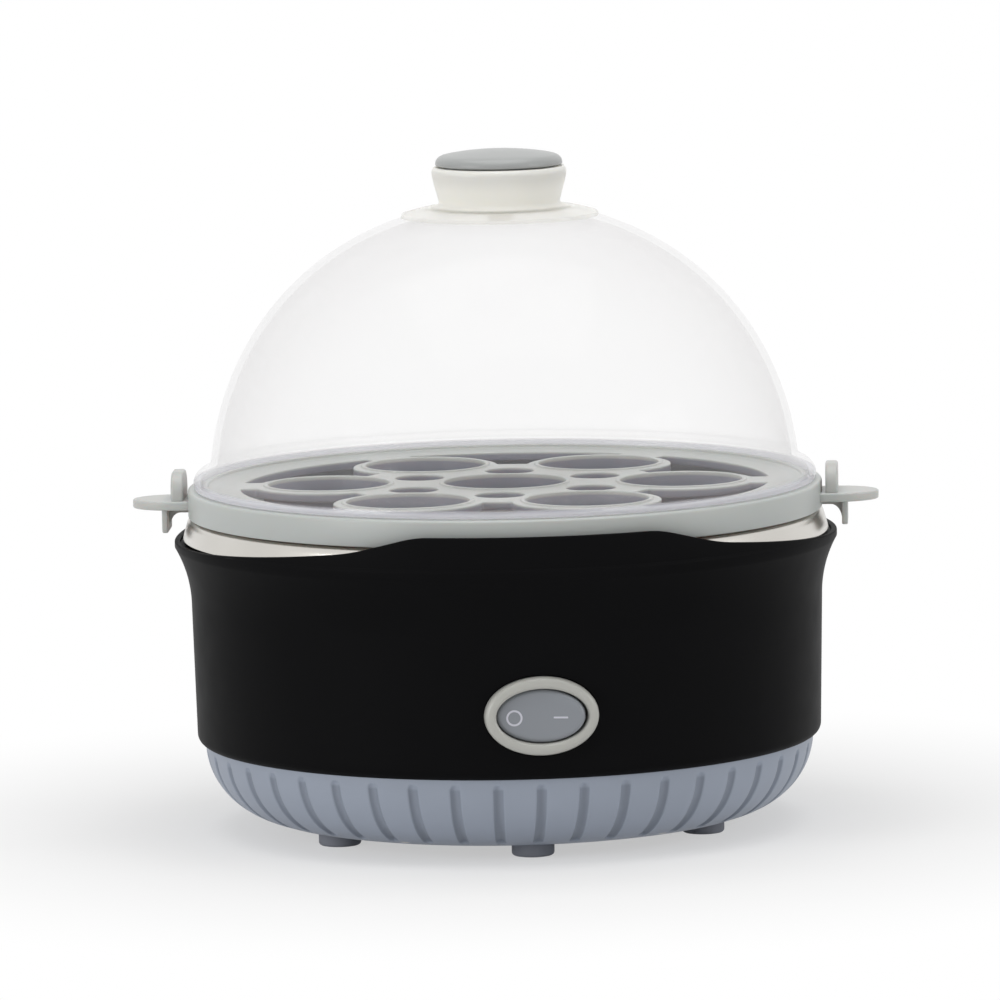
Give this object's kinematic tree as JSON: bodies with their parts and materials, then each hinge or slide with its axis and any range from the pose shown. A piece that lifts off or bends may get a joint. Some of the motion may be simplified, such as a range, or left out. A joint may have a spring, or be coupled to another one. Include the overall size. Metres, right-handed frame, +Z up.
{
  "type": "electric egg cooker",
  "caption": "Countertop egg steamer with a clear dome lid, a lift-out tray with egg holes, a heated steel bowl and an oval rocker switch.",
  "frame": {"origin": "on the vertical axis of the bowl, at the plane that the feet stand on", "axes": "+Z up, -Y to the front with the switch, +X to the right seen from the front"},
  "size_m": [0.2018, 0.181, 0.1852],
  "materials": {
    "grey_base": "satin blue grey",
    "black_body": "satin black",
    "steel": "polished",
    "silicone": "matt",
    "cast_alloy": "cast",
    "element_steel": "dull",
    "ceramic_white": "glazed",
    "brass_tab": "plain",
    "inner_black": "matt",
    "fuse_sleeve": "woven sleeve",
    "bezel_grey": "satin warm grey",
    "rocker_grey": "satin mid grey",
    "tray_grey": "satin light grey",
    "clear_dome": "clear",
    "milky_knob": "milky",
    "cap_grey": "satin grey",
    "foot_rubber": "matt"
  },
  "bodies": {
    "base": {"bar_nuts": "steel", "bar_screws": "steel", "base_cover": "grey_base", "base_screws": "steel", "block_screw": "steel", "bowl_gasket": "silicone", "clamp_nuts": "steel", "cord_bush": "inner_black", "cord_clamp": "inner_black", "cord_screws": "steel", "earth_screw": "steel", "earth_tab": "brass_tab", "element_clamp": "steel", "foot_1": "foot_rubber", "foot_2": "foot_rubber", "foot_3": "foot_rubber", "foot_4": "foot_rubber", "foot_5": "foot_rubber", "foot_6": "foot_rubber", "fuse_clip": "steel", "heat_shield": "cast_alloy", "heater_plate": "cast_alloy", "heater_studs": "steel", "heating_element": "element_steel", "mounting_bar": "steel", "outer_body": "black_body", "shield_spacers": "steel", "steel_bowl": "steel", "switch_housing": "bezel_grey", "switch_terminals": "brass_tab", "terminal_beads": "ceramic_white", "terminal_block": "ceramic_white", "thermal_fuse": "fuse_sleeve", "thermostat": "inner_black", "thermostat_screws": "steel", "thermostat_strap": "steel"},
    "rocker": {"rocker": "rocker_grey", "switch_plunger": "brass_tab", "switch_spring": "steel"},
    "lever": {"contact_lever": "brass_tab"},
    "tray": {"egg_tray": "tray_grey"},
    "lid": {"dome_lid": "clear_dome", "knob": "milky_knob", "knob_cap": "cap_grey", "knob_screw": "steel", "knob_washer": "silicone"}
  },
  "joints": [
    {"name": "tray_lift", "type": "slide", "parent": "base", "child": "tray", "axis": [0, 0, 1], "range_m": [0, 0.12]},
    {"name": "lid_lift", "type": "slide", "parent": "tray", "child": "lid", "axis": [0, 0, 1], "range_m": [0, 0.15]},
    {"name": "rocker_tilt", "type": "hinge", "parent": "base", "child": "rocker", "pos_m": [0, -0.0842, 0.0417], "axis": [0, 0, 1], "range_deg": [0, 14]},
    {"name": "lever_tilt", "type": "hinge", "parent": "base", "child": "lever", "pos_m": [0, -0.0743, 0.0417], "axis": [0, 0, -1], "range_deg": [0, 8]}
  ],
  "couplings": [
    {"joint": "lever_tilt", "follows": "rocker_tilt", "ratio": 0.57143}
  ]
}
